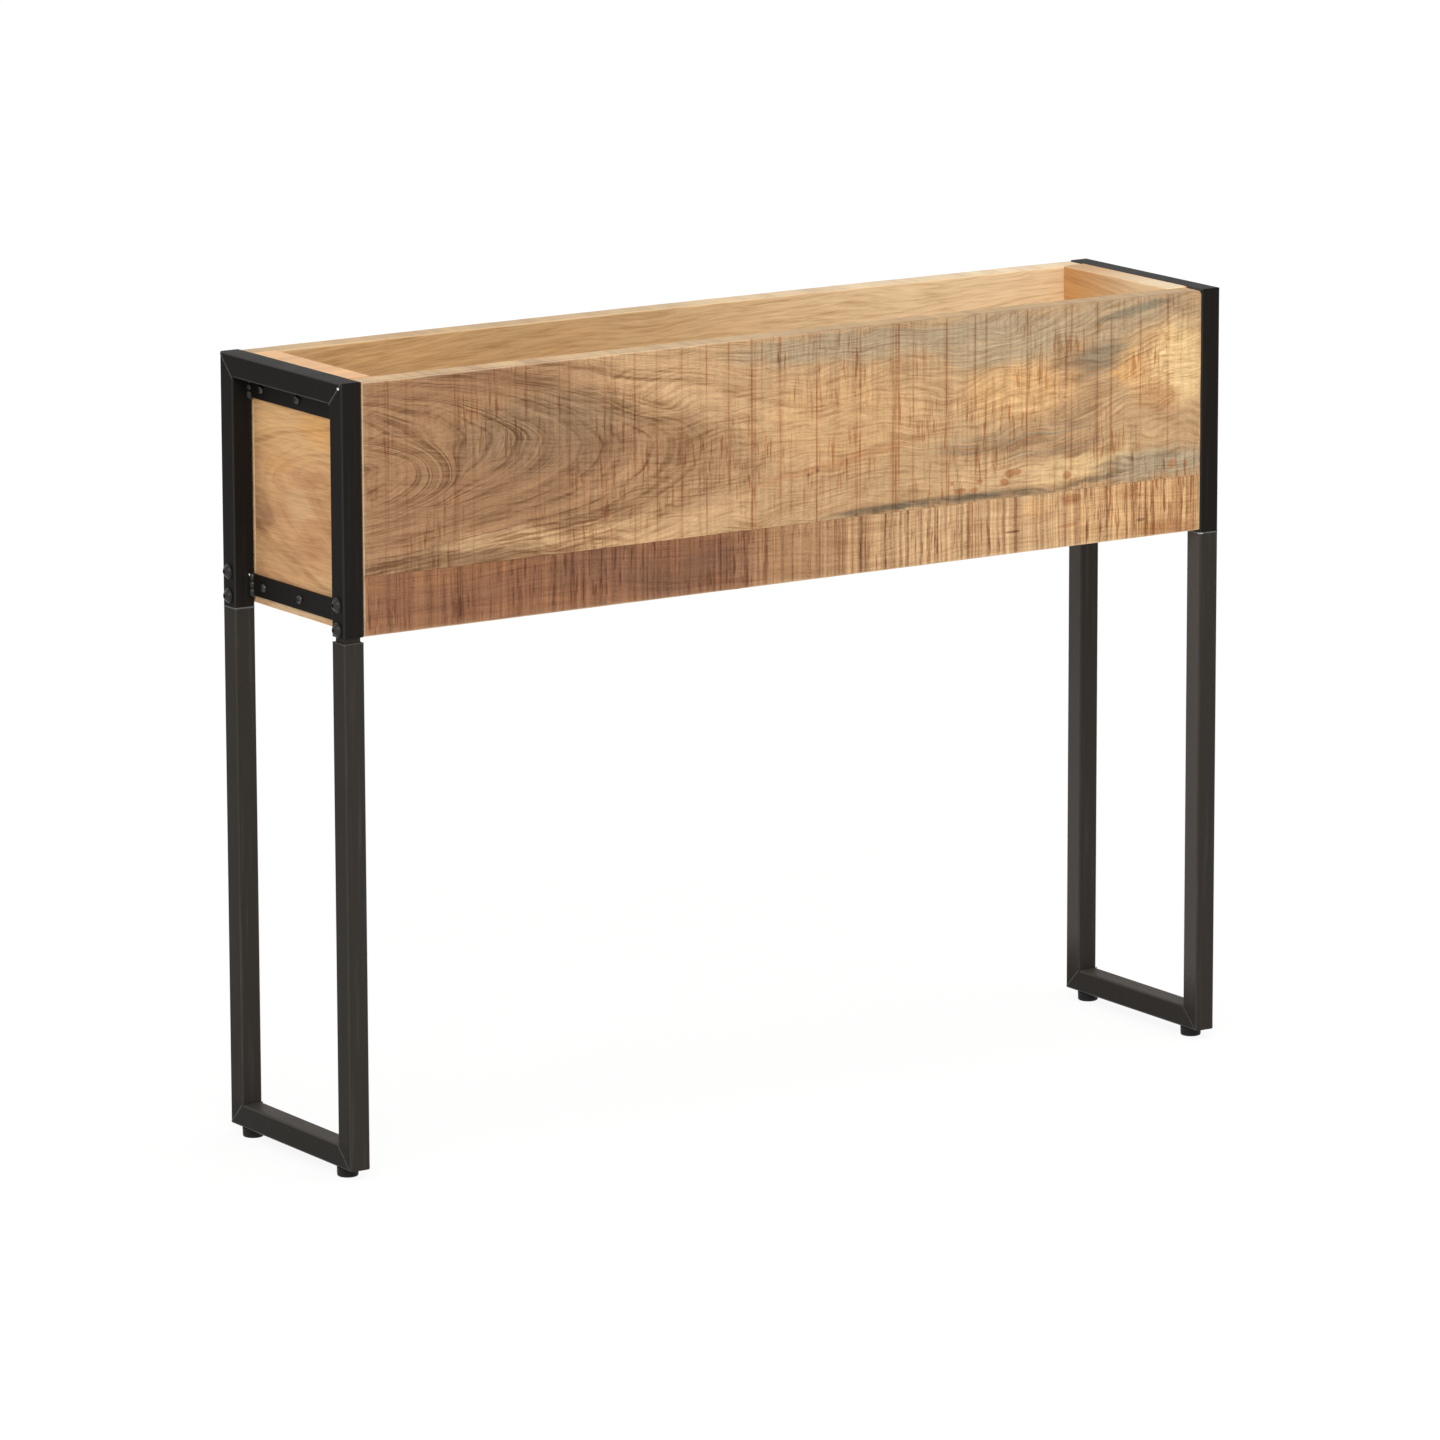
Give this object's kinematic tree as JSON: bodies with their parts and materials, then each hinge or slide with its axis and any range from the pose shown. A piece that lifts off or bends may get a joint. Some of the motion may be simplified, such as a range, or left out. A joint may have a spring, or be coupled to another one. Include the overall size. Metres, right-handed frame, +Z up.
{
  "type": "wooden planter",
  "caption": "Long narrow rough-sawn wooden trough planter held between black square-tube steel end frames on slim open legs with screw-in levelling feet.",
  "frame": {"origin": "on the floor under the middle of the planter, feet screwed right in", "axes": "+X along the length, -Y towards the front face, +Z up"},
  "size_m": [0.9092, 0.2, 0.68],
  "materials": {
    "timber": "rough-sawn, clear oiled",
    "dowel_wood": "plain",
    "black_steel": "satin black powder coat",
    "black_fastener": "black coated",
    "plain_steel": "zinc plated",
    "foot_plastic": "black moulded"
  },
  "bodies": {
    "planter": {"back_lower_board": "timber", "back_upper_board": "timber", "bar_screws": "black_fastener", "bottom_panel": "timber", "corner_dowels": "dowel_wood", "edge_dowels": "dowel_wood", "foot_nuts": "plain_steel", "front_lower_board": "timber", "front_upper_board": "timber", "left_back_leg": "black_steel", "left_back_post": "black_steel", "left_back_spigot": "black_steel", "left_bottom_rail": "black_steel", "left_end_panel": "timber", "left_front_leg": "black_steel", "left_front_post": "black_steel", "left_front_spigot": "black_steel", "left_lower_bar": "black_steel", "left_top_rail": "black_steel", "left_upper_bar": "black_steel", "leg_bolts": "black_fastener", "leg_nuts": "plain_steel", "leg_washers": "black_fastener", "right_back_leg": "black_steel", "right_back_post": "black_steel", "right_back_spigot": "black_steel", "right_bottom_rail": "black_steel", "right_end_panel": "timber", "right_front_leg": "black_steel", "right_front_post": "black_steel", "right_front_spigot": "black_steel", "right_lower_bar": "black_steel", "right_top_rail": "black_steel", "right_upper_bar": "black_steel"},
    "left_front_foot": {"left_front_foot_pad": "foot_plastic", "left_front_foot_stud": "plain_steel"},
    "left_back_foot": {"left_back_foot_pad": "foot_plastic", "left_back_foot_stud": "plain_steel"},
    "right_front_foot": {"right_front_foot_pad": "foot_plastic", "right_front_foot_stud": "plain_steel"},
    "right_back_foot": {"right_back_foot_pad": "foot_plastic", "right_back_foot_stud": "plain_steel"}
  },
  "joints": [
    {"name": "left_front_foot_screw", "type": "slide", "parent": "planter", "child": "left_front_foot", "axis": [0, 0, -1], "range_m": [0, 0.008]},
    {"name": "left_back_foot_screw", "type": "slide", "parent": "planter", "child": "left_back_foot", "axis": [0, 0, -1], "range_m": [0, 0.008]},
    {"name": "right_front_foot_screw", "type": "slide", "parent": "planter", "child": "right_front_foot", "axis": [0, 0, -1], "range_m": [0, 0.008]},
    {"name": "right_back_foot_screw", "type": "slide", "parent": "planter", "child": "right_back_foot", "axis": [0, 0, -1], "range_m": [0, 0.008]}
  ]
}
